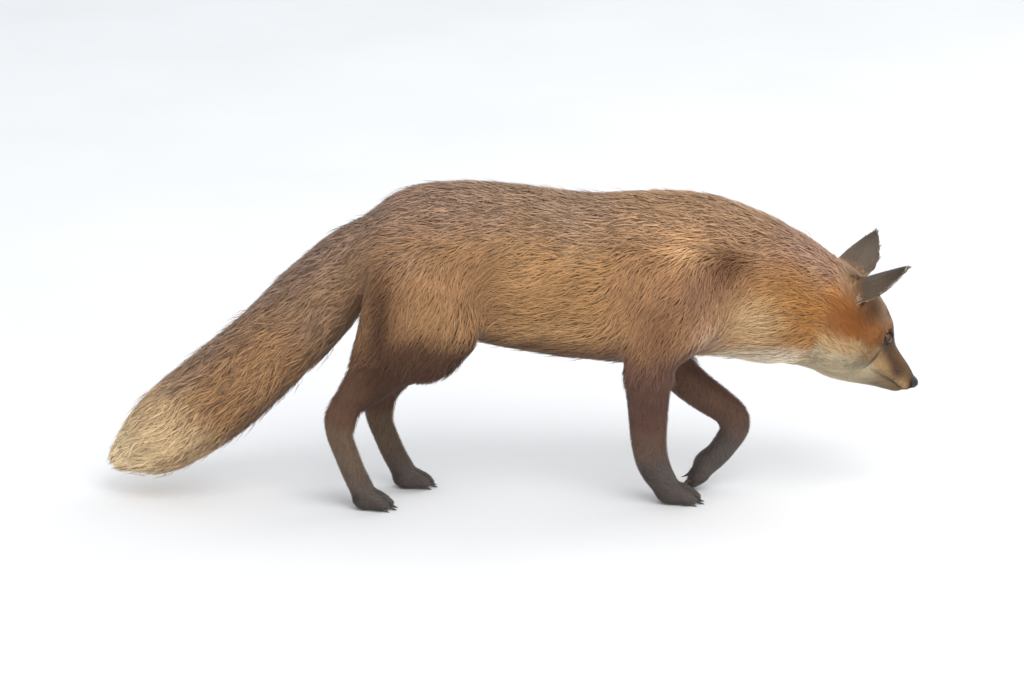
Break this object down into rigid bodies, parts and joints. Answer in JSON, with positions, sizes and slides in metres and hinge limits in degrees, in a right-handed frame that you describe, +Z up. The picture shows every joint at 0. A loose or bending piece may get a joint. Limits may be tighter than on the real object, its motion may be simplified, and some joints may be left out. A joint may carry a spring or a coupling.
{
  "type": "red fox figure",
  "caption": "Life-size red fox stalking with its head low, one fore paw bent under it and its brush trailing behind; a still, museum-type animal model.",
  "frame": {"origin": "on the floor under the middle of the fox's bounding box", "axes": "+X forward from the tip of the brush to the muzzle, +Y to the fox's left, +Z up"},
  "size_m": [0.9172, 0.183, 0.3693],
  "materials": {
    "russet_fur": "long soft fur",
    "grizzled_fur": "long soft fur with dark tips",
    "cream_fur": "long soft fur",
    "dark_fur": "short close fur",
    "nose_leather": "moist, finely pebbled",
    "eye_gloss": "clear gloss"
  },
  "bodies": {
    "root": {"head": "russet_fur", "neck": "russet_fur", "chest": "russet_fur", "trunk": "russet_fur", "rump": "grizzled_fur", "tail_base": "grizzled_fur", "tail_middle": "grizzled_fur", "tail_tip": "cream_fur", "shoulder_left": "russet_fur", "shoulder_right": "russet_fur", "forearm_left": "dark_fur", "forearm_right": "dark_fur", "fore_paw_left": "dark_fur", "fore_paw_right": "dark_fur", "thigh_left": "russet_fur", "thigh_right": "russet_fur", "shank_left": "russet_fur", "shank_right": "russet_fur", "metatarsus_left": "dark_fur", "metatarsus_right": "dark_fur", "hind_paw_left": "dark_fur", "hind_paw_right": "dark_fur", "ear_left": "dark_fur", "ear_right": "dark_fur", "eye_left": "eye_gloss", "eye_right": "eye_gloss", "nose": "nose_leather"}
  },
  "joints": []
}
